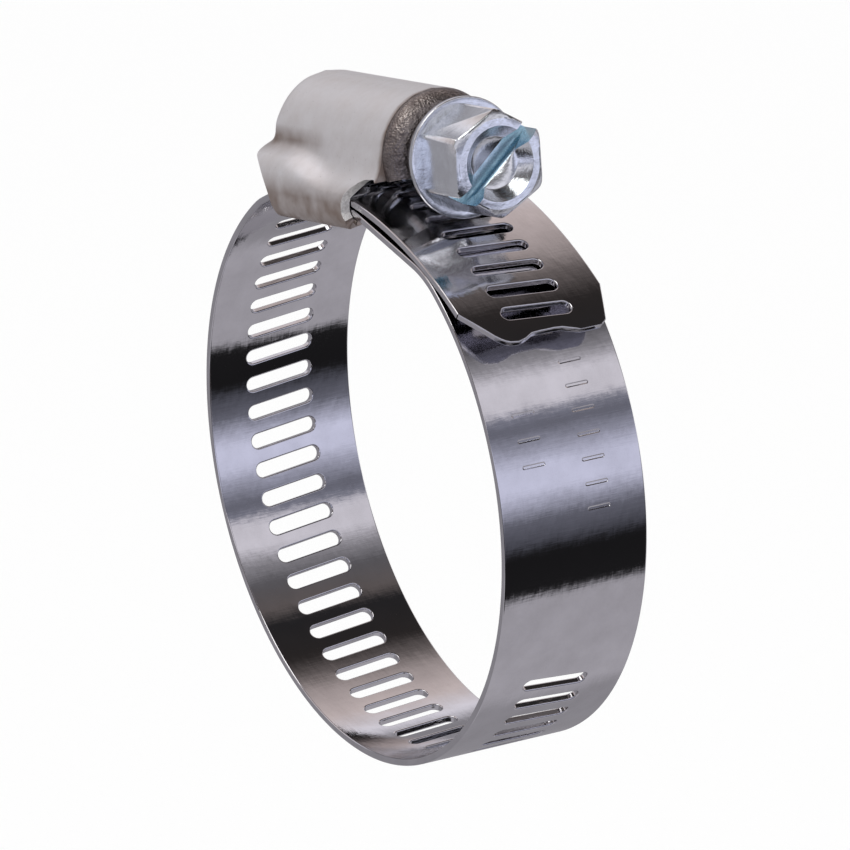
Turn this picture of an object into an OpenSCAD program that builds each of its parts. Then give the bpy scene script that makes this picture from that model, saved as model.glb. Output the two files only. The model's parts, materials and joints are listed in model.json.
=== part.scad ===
// Worm-drive hose clamp: one slotted band, a pressed housing, a saddle and a hex-head worm screw.
// The loop's centre is the origin, the loop's axis is Y, and the housing sits on top, towards +Z.
// The screw lies along X with its head towards +X. The band is one strip on the real clamp. Here it is
// cut into short rigid links that hinge about Y, so that turning the screw can close the loop.

/* [Loop] */
// Inner diameter of the loop
loop_d = 45.34; // [40:0.02:60]
// How far the band under the housing lies inside the loop's circle
flat_drop = 1.6; // [1.4:0.05:1.8]

/* [Band] */
// Width of the band
band_w = 12.7; // [9:0.1:16]
// Thickness of the band
band_t = 0.56; // [0.5:0.02:0.6]
// Distance from slot to slot, which is also the pitch of the thread
pitch = 2.37; // [2.3:0.01:2.4]
// Width of a slot
slot_w = 1.17; // [1.15:0.01:1.3]
// Length of a slot, round end to round end
slot_l = 5.85; // [5:0.05:6.5]
// Lean of the slots, which follows the thread's helix
slot_lean = 6.1; // [5:0.1:7]
// Gap between the two layers of band where they overlap
layer_gap = 0.1; // [0.1:0.02:0.3]

/* [Tail] */
// Length of the tail beyond the middle of the housing
tail_l = 25.3; // [20:0.1:27]
// Length of the chamfered corners at the tail's end
tail_chamfer = 3.7; // [2:0.1:5]
// Width of the tail's end between its chamfers
tail_tip_w = 8.8; // [5:0.1:10]
// How far the end's middle lies to one side of the band's
tail_tip_shift = 0.6; // [0:0.1:1]

/* [Housing] */
// Outer radius of the barrel
barrel_r = 5.1; // [4.9:0.05:5.3]
// Thickness of the housing's sheet
sheet_t = 0.78; // [0.6:0.02:0.8]
// Rear end of the barrel, behind the middle
barrel_rear = 10; // [9:0.1:12]
// Front end of the neck, ahead of the middle
neck_front = 9.9; // [9.6:0.1:10]
// Length of the rolled-in neck
neck_l = 1.5; // [1.2:0.1:2]
// Front edge of the side walls, ahead of the middle
wall_front = 5; // [4.6:0.1:6]
// Corner radius where the side walls' front edge turns forward under the neck
arch_r = 2.6; // [1.5:0.1:3]

/* [Saddle] */
// Thickness of the saddle
saddle_t = 0.4; // [0.3:0.02:0.5]
// Thickness of the housing's feet, folded under the saddle
foot_t = 0.6; // [0.4:0.02:0.7]

/* [Screw] */
// Crest radius of the thread
crest_r = 3.25; // [3.1:0.05:3.4]
// Root radius of the thread
root_r = 2.6; // [2.4:0.05:2.65]
// Radial running clearance of the screw's journal in the neck
journal_gap = 0.06; // [0.02:0.01:0.1]
// Hex size across flats
hex_af = 7.45; // [7:0.05:8]
// Radius of the flange
flange_r = 4.75; // [4.4:0.05:4.8]
// Place of the flange's front face, where the hex starts
flange_x = 12.5; // [12.3:0.1:13]
// Length of the hex head
head_l = 5.3; // [4:0.1:6]
// Width of the driver slot
driver_w = 1.4; // [1:0.05:1.6]
// Depth of the driver slot
driver_d = 2.2; // [1.5:0.1:2.6]

/* [Hidden] */
$fn = 96;

// Heights of the two flat layers under the screw, measured at mid-thickness
ring_r = loop_d / 2 + band_t / 2;
head_z = loop_d / 2 - flat_drop + band_t / 2;
tail_z = head_z + band_t + layer_gap;
// The thread's crest reaches almost through the upper layer
crest_margin = 0.07;
screw_z = tail_z - band_t / 2 + crest_margin + crest_r;

// Hinges between links are at mid-thickness, with a hairline gap at each cut
link_gap = 0.03;
bend_r = 5;
slots_per_link = 5;
slotted_links = 7;
entry_slots = 3;
engaged_slots = 4;
plain_links = 3;

// Inner layer: flat, bend, straight ramp, then a blend onto the circle
head_x0 = -2.4;
head_bend_x = 3.6;
ramp_angle = 21;
ramp_blend_r = 8;
// Upper layer: rear bend, flat through the housing, front bend, then an easy curve to the tip
rear_bend_x = -5;
rear_angle = 18;
rear_blend_r = 8;
tail_bend_x = 3.9;
tail_bend = 13;
tail_curve_r = 35;
// A slot's centre lies this far ahead of the housing's middle, and the links are cut midway between slots
slot_x = 0.62 * pitch;
engaged_x1 = slot_x + pitch / 2;
engaged_x0 = engaged_x1 - engaged_slots * pitch;

// ---- Path of the band. A point is [x, z, heading], with the heading turned down from +X in degrees,
// and a stretch is [length, turn]. The path runs clockwise as seen from -Y.
function arc(radius, turn) = [radius * turn * PI / 180, turn];
function step(p, s) =
    s[1] == 0 ? [p[0] + s[0] * cos(p[2]), p[1] - s[0] * sin(p[2]), p[2]]
              : let (r = s[0] * 180 / (PI * s[1]))
                [p[0] + r * (sin(p[2] + s[1]) - sin(p[2])),
                 p[1] + r * (cos(p[2] + s[1]) - cos(p[2])), p[2] + s[1]];
function total(segs, i = 0) = i == len(segs) ? 0 : segs[i][0] + total(segs, i + 1);
function along(p, segs, u, i = 0) =
    i == len(segs) ? p
    : u <= segs[i][0] ? step(p, [u, segs[i][1] * u / segs[i][0]])
    : along(step(p, segs[i]), segs, u - segs[i][0], i + 1);
function on_circle(a) = [ring_r * cos(a), ring_r * sin(a), 90 - a];

// From a point outside the blend, a straight run at a given angle, then an arc that meets the circle
function run_to_circle(q, angle, blend_r) =
    let (d = q[0] * sin(angle) + q[1] * cos(angle),
         a = sqrt(pow(ring_r - blend_r, 2) - pow(d - blend_r, 2)),
         c = [(d - blend_r) * sin(angle) + a * cos(angle), (d - blend_r) * cos(angle) - a * sin(angle)],
         phi = atan2(c[1], c[0]))
    [a - (q[0] * cos(angle) - q[1] * sin(angle)), 90 - phi - angle, phi];

// Front: the ramp from the head down to the circle
head_segs = [[head_bend_x - head_x0, 0], arc(bend_r, ramp_angle)];
ramp_p = along([head_x0, head_z, 0], head_segs, total(head_segs));
ramp_run = run_to_circle(ramp_p, ramp_angle, ramp_blend_r);
ramp_segs = [[ramp_run[0], 0], arc(ramp_blend_r, ramp_run[1])];
ramp_end_angle = ramp_run[2];

// Rear: the same, mirrored, from the flat back down to the circle
rear_p = step([-rear_bend_x, tail_z, 0], arc(bend_r, rear_angle));
rear_run = run_to_circle(rear_p, rear_angle, rear_blend_r);
rear_end_angle = 180 - rear_run[2];
rear_past_bend = rear_bend_x - engaged_x0 - arc(bend_r, rear_angle)[0];
entry_arc = entry_slots * pitch - (rear_run[0] - rear_past_bend) - arc(rear_blend_r, rear_run[1])[0];
entry_angle = rear_end_angle + entry_arc * 180 / (PI * ring_r);
entry_segs = [arc(ring_r, entry_angle - rear_end_angle), arc(rear_blend_r, rear_run[1]),
              [rear_run[0] - rear_past_bend, 0]];
engaged_p = along(on_circle(entry_angle), entry_segs, total(entry_segs));
engaged_segs = [[rear_past_bend, 0], arc(bend_r, rear_angle), [engaged_x1 - rear_bend_x, 0]];
tail_p = [engaged_x1, tail_z, 0];
tail_curve_l = tail_l - tail_bend_x - arc(bend_r, tail_bend)[0];
tail_segs = [[tail_bend_x - engaged_x1, 0], arc(bend_r, tail_bend),
             [tail_curve_l, tail_curve_l * 180 / (PI * tail_curve_r)]];

// Round the loop: slotted links back from the entry, and plain links in what is left
slotted_span = slots_per_link * pitch * 180 / (PI * ring_r);
function slotted_angle(i) = entry_angle + (slotted_links + 1 - i) * slotted_span;
last_slot_angle = 317.6;
plain_end_angle = slotted_angle(1) - 360;
plain_span = (ramp_end_angle - plain_end_angle) / plain_links;
function plain_angle(i) = ramp_end_angle - (i - 1) * plain_span;

// ---- Shapes of the band
// A bend of one radius, as a true arc. It turns about the point below the strip.
module arc_strip(p, s) {
    r = s[0] * 180 / (PI * s[1]);
    translate([p[0] - r * sin(p[2]), 0, p[1] - r * cos(p[2])])
        rotate([90, 0, 0]) rotate([0, 0, 90 - p[2] - s[1]])
            rotate_extrude(angle = s[1])
                translate([r - band_t / 2, -band_w / 2]) square([band_t, band_w]);
}

// Points along a path, a few degrees apart in its bends
bend_step = 2.5;
function stations(p, segs, i = 0) =
    i == len(segs) ? [p]
    : let (s = segs[i], n = max(1, ceil(abs(s[1]) / bend_step)))
      concat([for (k = [0:n - 1]) step(p, s * k / n)], stations(step(p, s), segs, i + 1));
function beside(q, d) = [q[0] + d * sin(q[2]), q[1] + d * cos(q[2])];

// A strip of any path, as one outline drawn out across the band
module ribbon(p, segs, t, w) {
    at = stations(p, segs);
    n = len(at);
    rotate([90, 0, 0]) linear_extrude(w, center = true)
        polygon([for (q = at) beside(q, t / 2), for (i = [1:n]) beside(at[n - i], -t / 2)]);
}

module strip(p, segs) {
    if (len(segs) == 1) arc_strip(p, segs[0]);
    else ribbon(p, segs, band_t, band_w);
}

module slot_cut() {
    rotate([0, 0, -slot_lean]) linear_extrude(4 * band_t, center = true) {
        square([slot_w, slot_l - slot_w], center = true);
        for (end = [-1, 1]) translate([0, end * (slot_l - slot_w) / 2]) circle(d = slot_w);
    }
}

// A link: a strip with slots at the given distances along it, and half a hairline gap at each hinged end
module link(p, segs, slots = [], gap_start = true, gap_end = true) {
    difference() {
        strip(p, segs);
        for (u = slots) {
            q = along(p, segs, u);
            translate([q[0], 0, q[1]]) rotate([0, q[2], 0]) slot_cut();
        }
        if (gap_start) hairline(p);
        if (gap_end) hairline(along(p, segs, total(segs)));
    }
}

module hairline(q) {
    translate([q[0], 0, q[1]]) rotate([0, q[2], 0]) cube([link_gap, band_w + 1, 4 * band_t], center = true);
}

function slot_row(count, first = 0.5) = [for (k = [0:count - 1]) (first + k) * pitch];

// A slotted link of the loop: slots that would lie past the first slot of the row are left out
module slotted_link(i) {
    p = on_circle(slotted_angle(i));
    skipped = max(0, ceil((slotted_angle(i) - last_slot_angle) / slotted_span * slots_per_link - 1));
    link(p, [arc(ring_r, slotted_span)], slot_row(slots_per_link - skipped, 0.5 + skipped));
}

module plain_link(i) {
    link(on_circle(plain_angle(i)), [arc(ring_r, plain_span)]);
}

band_colour = "lightsteelblue";
module band_head() { color(band_colour) link([head_x0, head_z, 0], head_segs, gap_start = false); }
module band_ramp() { color(band_colour) link(ramp_p, ramp_segs); }
module band_plain_1() { color(band_colour) plain_link(1); }
module band_plain_2() { color(band_colour) plain_link(2); }
module band_plain_3() { color(band_colour) plain_link(3); }
module band_slotted_1() { color(band_colour) slotted_link(1); }
module band_slotted_2() { color(band_colour) slotted_link(2); }
module band_slotted_3() { color(band_colour) slotted_link(3); }
module band_slotted_4() { color(band_colour) slotted_link(4); }
module band_slotted_5() { color(band_colour) slotted_link(5); }
module band_slotted_6() { color(band_colour) slotted_link(6); }
module band_slotted_7() { color(band_colour) slotted_link(7); }
module band_entry() {
    color(band_colour) link(on_circle(entry_angle), entry_segs, slot_row(entry_slots));
}
module band_engaged() { color(band_colour) link(engaged_p, engaged_segs, slot_row(engaged_slots)); }

// The free tail: two chamfered corners and a shallow hollow across the end
module band_tail() {
    tip = along(tail_p, tail_segs, total(tail_segs));
    tail_slots = floor((tail_l - tail_chamfer / 2 - engaged_x1) / pitch) + 1;
    hollow_r = 8;
    hollow_d = 0.55;
    function tip_y(side) = tail_tip_shift + side * tail_tip_w / 2;
    color(band_colour) difference() {
        link(tail_p, tail_segs, slot_row(tail_slots), gap_end = false);
        translate([tip[0], 0, tip[1]]) rotate([0, tip[2], 0]) linear_extrude(8 * band_t, center = true) {
            for (side = [-1, 1])
                polygon([[-tail_chamfer, side * (band_w / 2 + 1)], [-tail_chamfer, side * band_w / 2],
                         [0.1, tip_y(side)], [1, tip_y(side)], [1, side * (band_w / 2 + 1)]]);
            translate([hollow_r - hollow_d, 0]) circle(r = hollow_r);
        }
    }
}

// ---- Housing: a barrel over the screw, side walls outside the band, and feet folded in under the saddle
wall_y = band_w / 2 + 0.07;
outer_y = wall_y + sheet_t;
saddle_top = head_z - band_t / 2;
foot_top = saddle_top - saddle_t;
foot_bottom = foot_top - foot_t;
foot_gap = 8.4;
// The saddle's lip turns down just before the band does, and the feet end short of it
lip_x = head_bend_x - 0.2;
feet_x1 = lip_x - 0.1;
shoulder_z = screw_z + 1.35;
// The walls start this far inside the barrel's round, so that the two cross cleanly
shoulder_sink = 0.15;
skirt_z = tail_z + 0.45;
arch_z = screw_z - 1.15;
bore_r = barrel_r - sheet_t;

module outer_section() {
    translate([0, screw_z]) circle(barrel_r);
    shoulder_y = sqrt(pow(barrel_r - shoulder_sink, 2) - pow(shoulder_z - screw_z, 2));
    polygon([[-shoulder_y, shoulder_z], [shoulder_y, shoulder_z], [outer_y - 1.2, screw_z - 0.95],
             [outer_y, skirt_z], [outer_y, foot_bottom + 0.5], [outer_y - 0.5, foot_bottom],
             [-outer_y + 0.5, foot_bottom], [-outer_y, foot_bottom + 0.5], [-outer_y, skirt_z],
             [-outer_y + 1.2, screw_z - 0.95]]);
}

module inner_section() {
    translate([0, screw_z]) circle(bore_r);
    shoulder_y = sqrt(pow(bore_r - shoulder_sink, 2) - pow(shoulder_z - 0.2 - screw_z, 2));
    polygon([[-shoulder_y, shoulder_z - 0.2], [shoulder_y, shoulder_z - 0.2], [wall_y - 1.1, screw_z - 1.35],
             [wall_y, skirt_z - 0.05], [wall_y, foot_top], [-wall_y, foot_top],
             [-wall_y, skirt_z - 0.05], [-wall_y + 1.1, screw_z - 1.35]]);
    translate([-foot_gap / 2, foot_bottom - 1]) square([foot_gap, foot_t + 2]);
}

// Puts a section drawn across the band in place and runs it from x0 to x1
module across(x0, x1) {
    translate([x0, 0, 0]) rotate([90, 0, 90]) linear_extrude(x1 - x0) children();
}

module housing() {
    neck_r = root_r + journal_gap;
    neck_x = neck_front - neck_l;
    rear_lip = 0.8;
    arch_step = 15;
    color("gainsboro") difference() {
        union() {
            across(-barrel_rear, neck_x) outer_section();
            translate([neck_x, 0, screw_z]) rotate([0, 90, 0])
                cylinder(r = barrel_r - 0.5, h = neck_l);
        }
        across(-barrel_rear + rear_lip, neck_x - 0.1) inner_section();
        // The screw's journal runs in the neck, and the rear of the barrel is left open inside a lip
        translate([neck_x - 1, 0, screw_z]) rotate([0, 90, 0]) cylinder(r = neck_r, h = neck_l + 2);
        translate([-barrel_rear - 1, 0, screw_z]) rotate([0, 90, 0]) cylinder(r = root_r, h = 3);
        translate([feet_x1, -wall_y, foot_bottom - 1]) cube([neck_front, 2 * wall_y, foot_t + 1]);
        // Front: an arch under the barrel and neck. Rear: walls cut back at a slant down to the feet.
        translate([0, band_w, 0]) rotate([90, 0, 0]) linear_extrude(2 * band_w) {
            polygon(concat([[wall_front, foot_bottom - 1]],
                [for (a = [180:-arch_step:90]) [wall_front + arch_r + arch_r * cos(a), arch_z - arch_r + arch_r * sin(a)]],
                [[neck_front + 1, arch_z], [neck_front + 1, foot_bottom - 1]]));
        }
        translate([0, band_w, 0]) rotate([90, 0, 0]) linear_extrude(2 * band_w)
            polygon([[-6.6, foot_bottom - 1], [-6.9, saddle_top + 0.35], [1 - barrel_rear, screw_z - 0.5],
                     [-barrel_rear - 2, screw_z - 0.2], [-barrel_rear - 2, foot_bottom - 1]]);
    }
}

// ---- Saddle: a thin plate between the band and the folded feet, with its front lip turned down
module saddle() {
    flat_x0 = -5.4;
    lip_r = 3.2;
    lip_turn = 34;
    color("silver")
        ribbon([flat_x0, saddle_top - saddle_t / 2, 0], [[lip_x - flat_x0, 0], arc(lip_r, lip_turn)],
               saddle_t, band_w - 0.2);
}

// ---- Worm screw: hex head, flange, journal and a right-hand thread that stands in the band's slots
thread_x0 = -5.4;
thread_turns = 4.6;
module thread() {
    ring_steps = 24;
    tooth_root = 0.94;
    tooth_crest = 0.44;
    inside_r = root_r - 0.15;
    fade = 60;
    last = floor(thread_turns * ring_steps);
    // The crest meets a slot's centre at the bottom of the screw, at -90 degrees
    shift = (slot_x - thread_x0) / pitch;
    turn0 = -90 - 360 * (shift - floor(shift));
    function crest(i) = let (a = i * 360 / ring_steps, left = (last - i) * 360 / ring_steps,
                             share = min(1, a / fade, left / fade))
        inside_r + 0.05 + (crest_r - inside_r - 0.05) * share;
    function ring(i) = let (a = i * 360 / ring_steps, x = thread_x0 + pitch * i / ring_steps, c = crest(i))
        [for (v = [[-tooth_root / 2, inside_r], [-tooth_crest / 2, c], [tooth_crest / 2, c], [tooth_root / 2, inside_r]])
            [x + v[0], v[1] * cos(turn0 + a), v[1] * sin(turn0 + a)]];
    points = [for (i = [0:last]) each ring(i)];
    sides = [for (i = [0:last - 1]) for (k = [0:3]) let (a = 4 * i + k, b = 4 * i + (k + 1) % 4)
        each [[a, b, b + 4], [a, b + 4, a + 4]]];
    polyhedron(points, concat([[0, 3, 2, 1]], sides, [[for (k = [0:3]) 4 * last + k]]), convexity = 10);
}

module worm_screw() {
    hex_r = hex_af / sqrt(3);
    hex_turn = -3;
    head_x1 = flange_x + head_l;
    flange_back = neck_front + 0.2;
    flange_back_r = 3.8;
    rim_t = 0.5;
    recess_r = 2.9;
    recess_floor_r = 2.1;
    recess_d = 1;
    // The face is a circle of this radius, and the corners behind it are turned off to a round crown
    face_r = 3.5;
    crown_back = 6.5;
    slot_turn = 39;
    shank_x0 = -8.6;
    color("lavender") {
        translate([0, 0, screw_z]) thread();
        translate([0, 0, screw_z]) rotate([0, 90, 0]) {
            translate([0, 0, shank_x0]) cylinder(r = root_r, h = flange_back - shank_x0 + 0.1);
            translate([0, 0, flange_back]) cylinder(r1 = flange_back_r, r2 = flange_r, h = flange_x - rim_t - flange_back);
            translate([0, 0, flange_x - rim_t]) cylinder(r = flange_r, h = rim_t);
        }
        difference() {
            intersection() {
                translate([flange_x - 0.2, 0, screw_z]) rotate([0, 90, 0]) rotate([0, 0, hex_turn])
                    cylinder(r = hex_r, h = head_l + 0.2, $fn = 6);
                translate([head_x1 - crown_back, 0, screw_z]) sphere(r = norm([crown_back, face_r]));
            }
            translate([head_x1 - recess_d, 0, screw_z]) rotate([0, 90, 0])
                cylinder(r1 = recess_floor_r, r2 = recess_r, h = recess_d + 0.001);
            translate([head_x1 - driver_d, 0, screw_z]) rotate([slot_turn, 0, 0])
                translate([0, -2 * flange_r, -driver_w / 2]) cube([driver_d + 1, 4 * flange_r, driver_w]);
        }
    }
}

housing();
saddle();
worm_screw();
band_head();
band_ramp();
band_plain_1();
band_plain_2();
band_plain_3();
band_slotted_1();
band_slotted_2();
band_slotted_3();
band_slotted_4();
band_slotted_5();
band_slotted_6();
band_slotted_7();
band_entry();
band_engaged();
band_tail();
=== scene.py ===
import json
from math import atan2, ceil, cos, degrees, pi, radians, sin, sqrt

import bpy
import numpy as np
from mathutils import Matrix, Vector

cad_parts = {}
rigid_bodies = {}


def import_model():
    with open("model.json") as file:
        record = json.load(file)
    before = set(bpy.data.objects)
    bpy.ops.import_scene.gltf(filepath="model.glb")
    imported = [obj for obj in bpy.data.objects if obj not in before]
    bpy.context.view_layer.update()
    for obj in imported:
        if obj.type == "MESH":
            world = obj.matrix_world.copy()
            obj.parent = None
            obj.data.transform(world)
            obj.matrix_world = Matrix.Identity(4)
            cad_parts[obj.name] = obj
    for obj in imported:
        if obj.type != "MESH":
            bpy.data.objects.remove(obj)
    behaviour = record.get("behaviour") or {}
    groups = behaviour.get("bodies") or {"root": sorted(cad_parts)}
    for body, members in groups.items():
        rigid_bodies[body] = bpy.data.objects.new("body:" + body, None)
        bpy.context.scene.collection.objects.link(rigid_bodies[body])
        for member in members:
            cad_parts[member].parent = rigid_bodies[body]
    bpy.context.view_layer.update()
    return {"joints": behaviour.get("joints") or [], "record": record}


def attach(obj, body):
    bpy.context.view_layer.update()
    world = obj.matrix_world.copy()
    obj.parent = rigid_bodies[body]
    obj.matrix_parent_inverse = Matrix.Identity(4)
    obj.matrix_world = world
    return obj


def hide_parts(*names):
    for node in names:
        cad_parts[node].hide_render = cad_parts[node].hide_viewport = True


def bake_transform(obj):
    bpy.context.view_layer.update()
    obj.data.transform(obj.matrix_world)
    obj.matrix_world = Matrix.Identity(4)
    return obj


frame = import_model()
MM = 0.001

# ================================================================ Ways of working shared by the pieces
# Each piece is made of sheets: grids of points with the direction that the surface faces at each point.


def shape(name, sheets, weld=0.0005):
    """A mesh object from sheets of (points, facings), each a rows x columns x 3 grid."""
    points, facings, faces = [], [], []
    for p, f in sheets:
        p, f = np.asarray(p, float), np.asarray(f, float)
        rows, cols = p.shape[:2]
        at = len(points) + np.arange(rows * cols).reshape(rows, cols)
        a, b, c, d = at[:-1, :-1], at[1:, :-1], at[1:, 1:], at[:-1, 1:]
        side = np.cross(p[1:, :-1] - p[:-1, :-1], p[:-1, 1:] - p[:-1, :-1])
        if (side * f[:-1, :-1]).sum() < 0:
            b, d = d, b
        faces += np.stack([a, b, c, d], -1).reshape(-1, 4).tolist()
        points += p.reshape(-1, 3).tolist()
        facings += f.reshape(-1, 3).tolist()
    mesh = bpy.data.meshes.new(name)
    mesh.from_pydata((np.array(points) * MM).tolist(), [], faces)
    mesh.attributes.new("facing", "FLOAT_VECTOR", "POINT").data.foreach_set("vector", np.ravel(facings))
    thing = bpy.data.objects.new(name, mesh)
    bpy.context.scene.collection.objects.link(thing)
    return thing


def revolve(name, outline, x0=0.0, z0=0.0, steps=96, start=0.0, sweep=360.0):
    """A turned shape about an axis along X. The outline is (x, radius) pairs, and runs with the metal on
    its right hand."""
    turn = np.radians(start + np.linspace(0, sweep, steps + 1))
    line = np.array(outline, float)
    run = np.gradient(line, axis=0)
    out = np.stack([-run[:, 1], run[:, 0]], 1)
    out /= np.linalg.norm(out, axis=1)[:, None]
    p = np.stack([np.broadcast_to(x0 + line[:, 0, None], (len(line), steps + 1)),
                  line[:, 1, None] * np.cos(turn), z0 + line[:, 1, None] * np.sin(turn)], -1)
    f = np.stack([np.broadcast_to(out[:, 0, None], (len(line), steps + 1)),
                  out[:, 1, None] * np.cos(turn), out[:, 1, None] * np.sin(turn)], -1)
    return shape(name, [(p, f)])


def baked(thing):
    """Applies the object's modifiers and returns the same object with the finished mesh."""
    graph = bpy.context.evaluated_depsgraph_get()
    graph.update()
    mesh = bpy.data.meshes.new_from_object(thing.evaluated_get(graph), preserve_all_data_layers=True,
                                           depsgraph=graph)
    thing.modifiers.clear()
    thing.data = mesh
    return thing


def away(*things):
    for thing in things:
        bpy.data.objects.remove(thing)


def tidy_mesh(thing, distance=0.0005, outward=True):
    """Welds points that coincide and turns all faces outward."""
    import bmesh
    work = bmesh.new()
    work.from_mesh(thing.data)
    bmesh.ops.remove_doubles(work, verts=work.verts, dist=distance * MM)
    if outward:
        bmesh.ops.recalc_face_normals(work, faces=work.faces)
    for face in work.faces:
        face.smooth = True
    work.to_mesh(thing.data)
    work.free()
    return thing


def cut(thing, cutter, how="DIFFERENCE"):
    step = thing.modifiers.new("cut", "BOOLEAN")
    step.operation, step.object, step.solver = how, cutter, "MANIFOLD"
    step.material_mode = "TRANSFER"
    baked(thing)
    away(cutter)
    return thing


def soften(thing, width, segments=3, angle=35):
    """Small round edges wherever two faces meet at more than the angle."""
    step = thing.modifiers.new("edges", "BEVEL")
    step.width, step.segments, step.limit_method = width * MM, segments, "ANGLE"
    step.angle_limit, step.harden_normals = radians(angle), True
    step.miter_outer, step.use_clamp_overlap = "MITER_ARC", True
    for face in thing.data.polygons:
        face.use_smooth = True
    return baked(thing)


def smooth(value, low, high):
    k = np.clip((value - low) / (high - low), 0, 1)
    return k * k * (3 - 2 * k)


def node(tree, kind, place=(0, 0), **settings):
    made = tree.nodes.new(kind)
    made.location = place
    for key, value in settings.items():
        setattr(made, key, value)
    return made


def join_nodes(tree, *pairs):
    for out, into in pairs:
        tree.links.new(out, into)


# ---------------------------------------------------------------- Effects that several finishes use


def new_effect(name, inputs, outputs):
    group = bpy.data.node_groups.new(name, "ShaderNodeTree")
    for label, kind, value in inputs:
        made = group.interface.new_socket(label, in_out="INPUT", socket_type=kind)
        if value is not None:
            made.default_value = value
    for label, kind in outputs:
        group.interface.new_socket(label, in_out="OUTPUT", socket_type=kind)
    return group, node(group, "NodeGroupInput", (-900, 0)), node(group, "NodeGroupOutput", (700, 0))


# Fine drawn lines: noise that is stretched a long way in one direction
drawn, start, end = new_effect(
    "Drawn lines",
    [("Where", "NodeSocketVector", None), ("Stretch", "NodeSocketVector", (1, 1, 1)),
     ("Fineness", "NodeSocketFloat", 4.0), ("Depth", "NodeSocketFloat", 1.0)],
    [("Height", "NodeSocketFloat")])
scaled = node(drawn, "ShaderNodeVectorMath", (-650, 0), operation="MULTIPLY")
lines = node(drawn, "ShaderNodeTexNoise", (-400, 0))
lines.inputs["Detail"].default_value = 4
lines.inputs["Roughness"].default_value = 0.65
amount = node(drawn, "ShaderNodeMath", (-100, 0), operation="MULTIPLY")
join_nodes(drawn, (start.outputs["Where"], scaled.inputs[0]), (start.outputs["Stretch"], scaled.inputs[1]),
           (scaled.outputs[0], lines.inputs["Vector"]), (start.outputs["Fineness"], lines.inputs["Scale"]),
           (lines.outputs[0], amount.inputs[0]), (start.outputs["Depth"], amount.inputs[1]),
           (amount.outputs[0], end.inputs["Height"]))

# Handling: cloudy changes in how rough and how dark a metal is
cloudy, start, end = new_effect(
    "Cloudy metal",
    [("Where", "NodeSocketVector", None), ("Size", "NodeSocketFloat", 1.0), ("Base", "NodeSocketFloat",
                                        0.1),
     ("Spread", "NodeSocketFloat", 0.1), ("Light", "NodeSocketColor", (0.6, 0.6, 0.6, 1)),
     ("Dark", "NodeSocketColor", (0.5, 0.5, 0.5, 1))],
    [("Roughness", "NodeSocketFloat"), ("Colour", "NodeSocketColor")])
cloud = node(cloudy, "ShaderNodeTexNoise", (-600, 0))
cloud.inputs["Detail"].default_value = 6
cloud.inputs["Roughness"].default_value = 0.6
level = node(cloudy, "ShaderNodeMapRange", (-350, 0))
level.inputs["From Min"].default_value, level.inputs["From Max"].default_value = 0.35, 0.7
rough = node(cloudy, "ShaderNodeMath", (0, 100), operation="MULTIPLY_ADD")
tone = node(cloudy, "ShaderNodeMix", (0, -200), data_type="RGBA")
join_nodes(cloudy, (start.outputs["Where"], cloud.inputs["Vector"]), (start.outputs["Size"],
                                        cloud.inputs["Scale"]),
           (cloud.outputs[0], level.inputs["Value"]), (level.outputs[0], rough.inputs[0]),
           (start.outputs["Spread"], rough.inputs[1]), (start.outputs["Base"], rough.inputs[2]),
           (rough.outputs[0], end.inputs["Roughness"]), (level.outputs[0], tone.inputs[0]),
           (start.outputs["Light"], tone.inputs[6]), (start.outputs["Dark"], tone.inputs[7]),
           (tone.outputs[2], end.inputs["Colour"]))


def finish(name):
    """A new material with its shader, ready for the piece's own nodes."""
    material = bpy.data.materials.new(name)
    material.use_nodes = True
    tree = material.node_tree
    return material, tree, tree.nodes["Principled BSDF"]


def use(tree, group, place, **values):
    made = node(tree, "ShaderNodeGroup", place, node_tree=group)
    for key, value in values.items():
        made.inputs[key.replace("_", " ")].default_value = value
    return made


# ================================================================ Band
# One strip of spring steel, 12.7 mm wide and 0.56 mm thick, polished. It starts in the housing, goes round
# the loop, comes back over its own start under the screw and ends in a free tail with clipped corners.
# The slots are punched at the pitch of the screw's thread and lean to follow its helix.
band_w, band_t, pitch = 12.7, 0.56, 2.37
slot_w, slot_l, slot_lean = 1.17, 5.85, radians(6.1)
loop_r = 45.34 / 2 + band_t / 2
head_z = loop_r - 1.6
tail_z = head_z + band_t + 0.1
edge_round, slot_round = 0.12, 0.13
tail_l, chamfer_l, tip_left, tip_right = 25.3, 3.7, -3.8, 5.0


def arc(radius, turn):
    return radius * radians(turn), turn


def step(place, run):
    """Moves a place (x, z, heading turned down from +X in degrees) along a run (length, turn)."""
    x, z, h = place
    length, turn = run
    if turn == 0:
        return x + length * cos(radians(h)), z - length * sin(radians(h)), h
    r = length / radians(turn)
    return (x + r * (sin(radians(h + turn)) - sin(radians(h))),
            z + r * (cos(radians(h + turn)) - cos(radians(h))), h + turn)


def run_to_circle(place, blend_r):
    """The straight run, the turn and the loop's angle where a blend from a place meets the loop."""
    x, z, h = place
    a = radians(h)
    d = x * sin(a) + z * cos(a) - blend_r
    run = sqrt((loop_r - blend_r) ** 2 - d * d)
    phi = degrees(atan2(d * cos(a) - run * sin(a), d * sin(a) + run * cos(a)))
    return run - (x * cos(a) - z * sin(a)), 90 - phi - h, phi


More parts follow.
